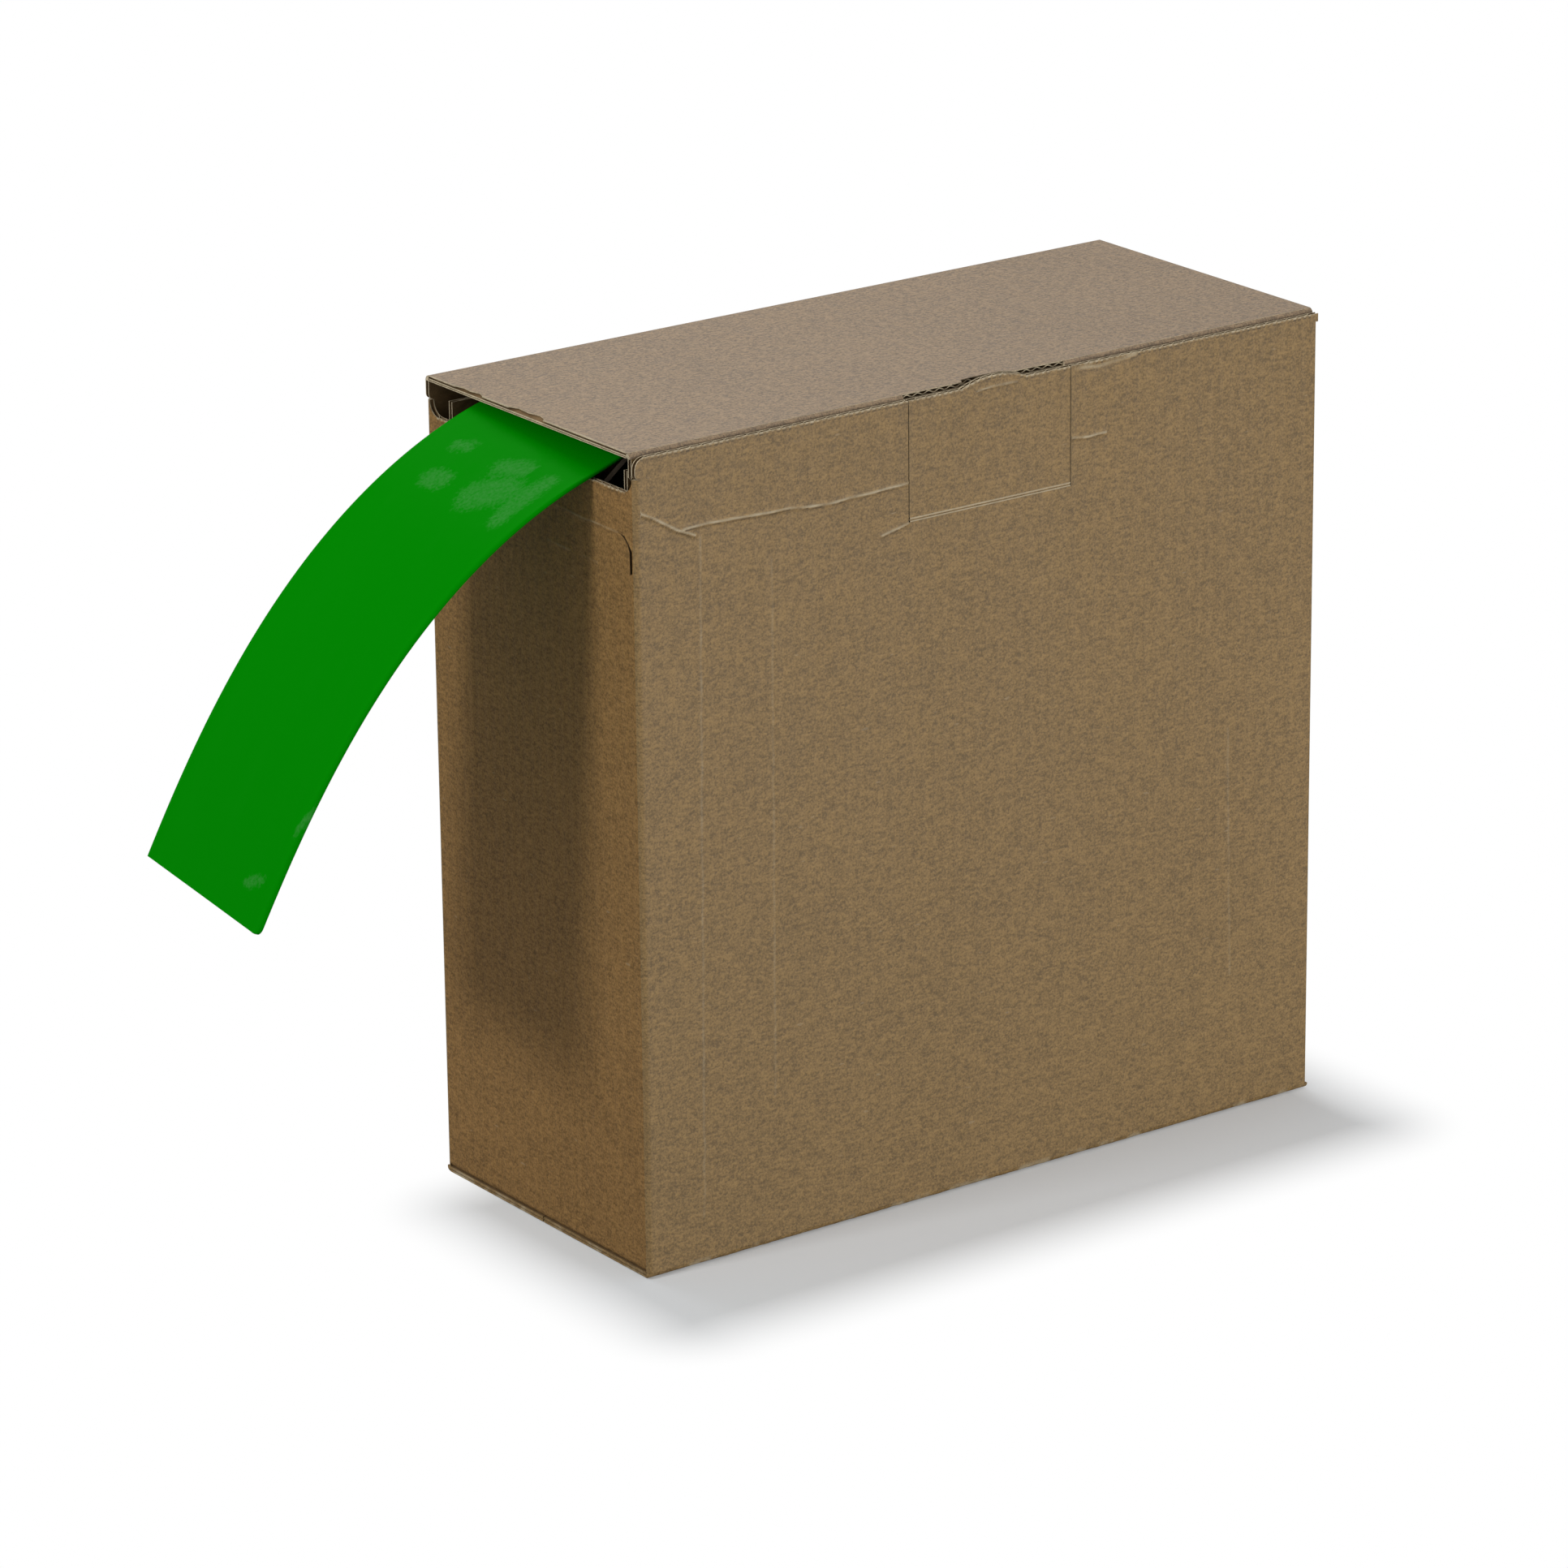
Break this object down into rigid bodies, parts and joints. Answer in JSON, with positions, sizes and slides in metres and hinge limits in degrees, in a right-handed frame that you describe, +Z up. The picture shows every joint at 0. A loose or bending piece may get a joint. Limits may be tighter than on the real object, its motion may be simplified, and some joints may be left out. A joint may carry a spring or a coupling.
{
  "type": "dispenser carton of flat electrical tube on a reel",
  "caption": "Corrugated dispenser box with an end slot, hinged lid and lock tab, holding a reel of flat green insulating tube whose end hangs out.",
  "frame": {"origin": "centre of the carton's base, on the surface that it stands on", "axes": "+X from the dispensing slot to the closed end, -Y out of the front face with the lock tab, +Z up"},
  "size_m": [0.3146, 0.094, 0.2216],
  "materials": {
    "kraft_board": "unbleached kraft liner, matt",
    "kraft_inner_board": "unbleached kraft liner, matt",
    "solid_greyboard": "matt",
    "paper_tube": "matt, spiral wound",
    "green_tube": "semi-gloss"
  },
  "bodies": {
    "carton": {"front_wall": "kraft_board", "back_wall": "kraft_board", "slot_end_wall": "kraft_board", "closed_end_wall": "kraft_board", "glue_lap": "kraft_inner_board", "front_bottom_flap": "kraft_board", "back_bottom_flap": "kraft_board", "slot_end_bottom_flap": "kraft_board", "closed_end_bottom_flap": "kraft_board", "closed_end_dust_flap": "kraft_inner_board", "cradle_floor": "kraft_inner_board", "cradle_front_side": "kraft_inner_board", "cradle_back_side": "kraft_inner_board"},
    "lid": {"lid": "kraft_board"},
    "tuck": {"lid_tuck_flap": "kraft_board"},
    "tab": {"lock_tab": "kraft_board"},
    "axle": {"axle_tube": "paper_tube"},
    "reel": {"reel_core": "paper_tube", "reel_front_flange": "solid_greyboard", "reel_back_flange": "solid_greyboard", "wound_tube": "green_tube"},
    "lead": {"tube_lead": "green_tube"}
  },
  "joints": [
    {"name": "lid_open", "type": "hinge", "parent": "carton", "child": "lid", "pos_m": [0, 0.047, 0.2205], "axis": [-1, 0, 0], "range_deg": [0, 110]},
    {"name": "tuck_fold", "type": "hinge", "parent": "lid", "child": "tuck", "pos_m": [0, -0.0433, 0.219], "axis": [1, 0, 0], "range_deg": [0, 60.6]},
    {"name": "lock_tab_pull", "type": "hinge", "parent": "carton", "child": "tab", "pos_m": [0.0008, -0.047, 0.1877], "axis": [1, 0, 0], "range_deg": [0, 75]},
    {"name": "axle_spin", "type": "hinge", "parent": "carton", "child": "axle", "pos_m": [0, 0, 0.1095], "axis": [0, -1, 0], "continuous": true},
    {"name": "reel_unwind", "type": "hinge", "parent": "axle", "child": "reel", "pos_m": [0, 0, 0.1095], "axis": [0, -1, 0], "range_deg": [0, 7.56]},
    {"name": "tube_feed", "type": "hinge", "parent": "carton", "child": "lead", "pos_m": [-0.07385, 0.00722, 0.11507], "axis": [-0.0348, -0.9951, -0.0924], "range_deg": [0, 6.55]}
  ],
  "couplings": [
    {"joint": "tuck_fold", "follows": "lid_open", "ratio": 0.55},
    {"joint": "tube_feed", "follows": "reel_unwind", "ratio": 0.86571}
  ]
}
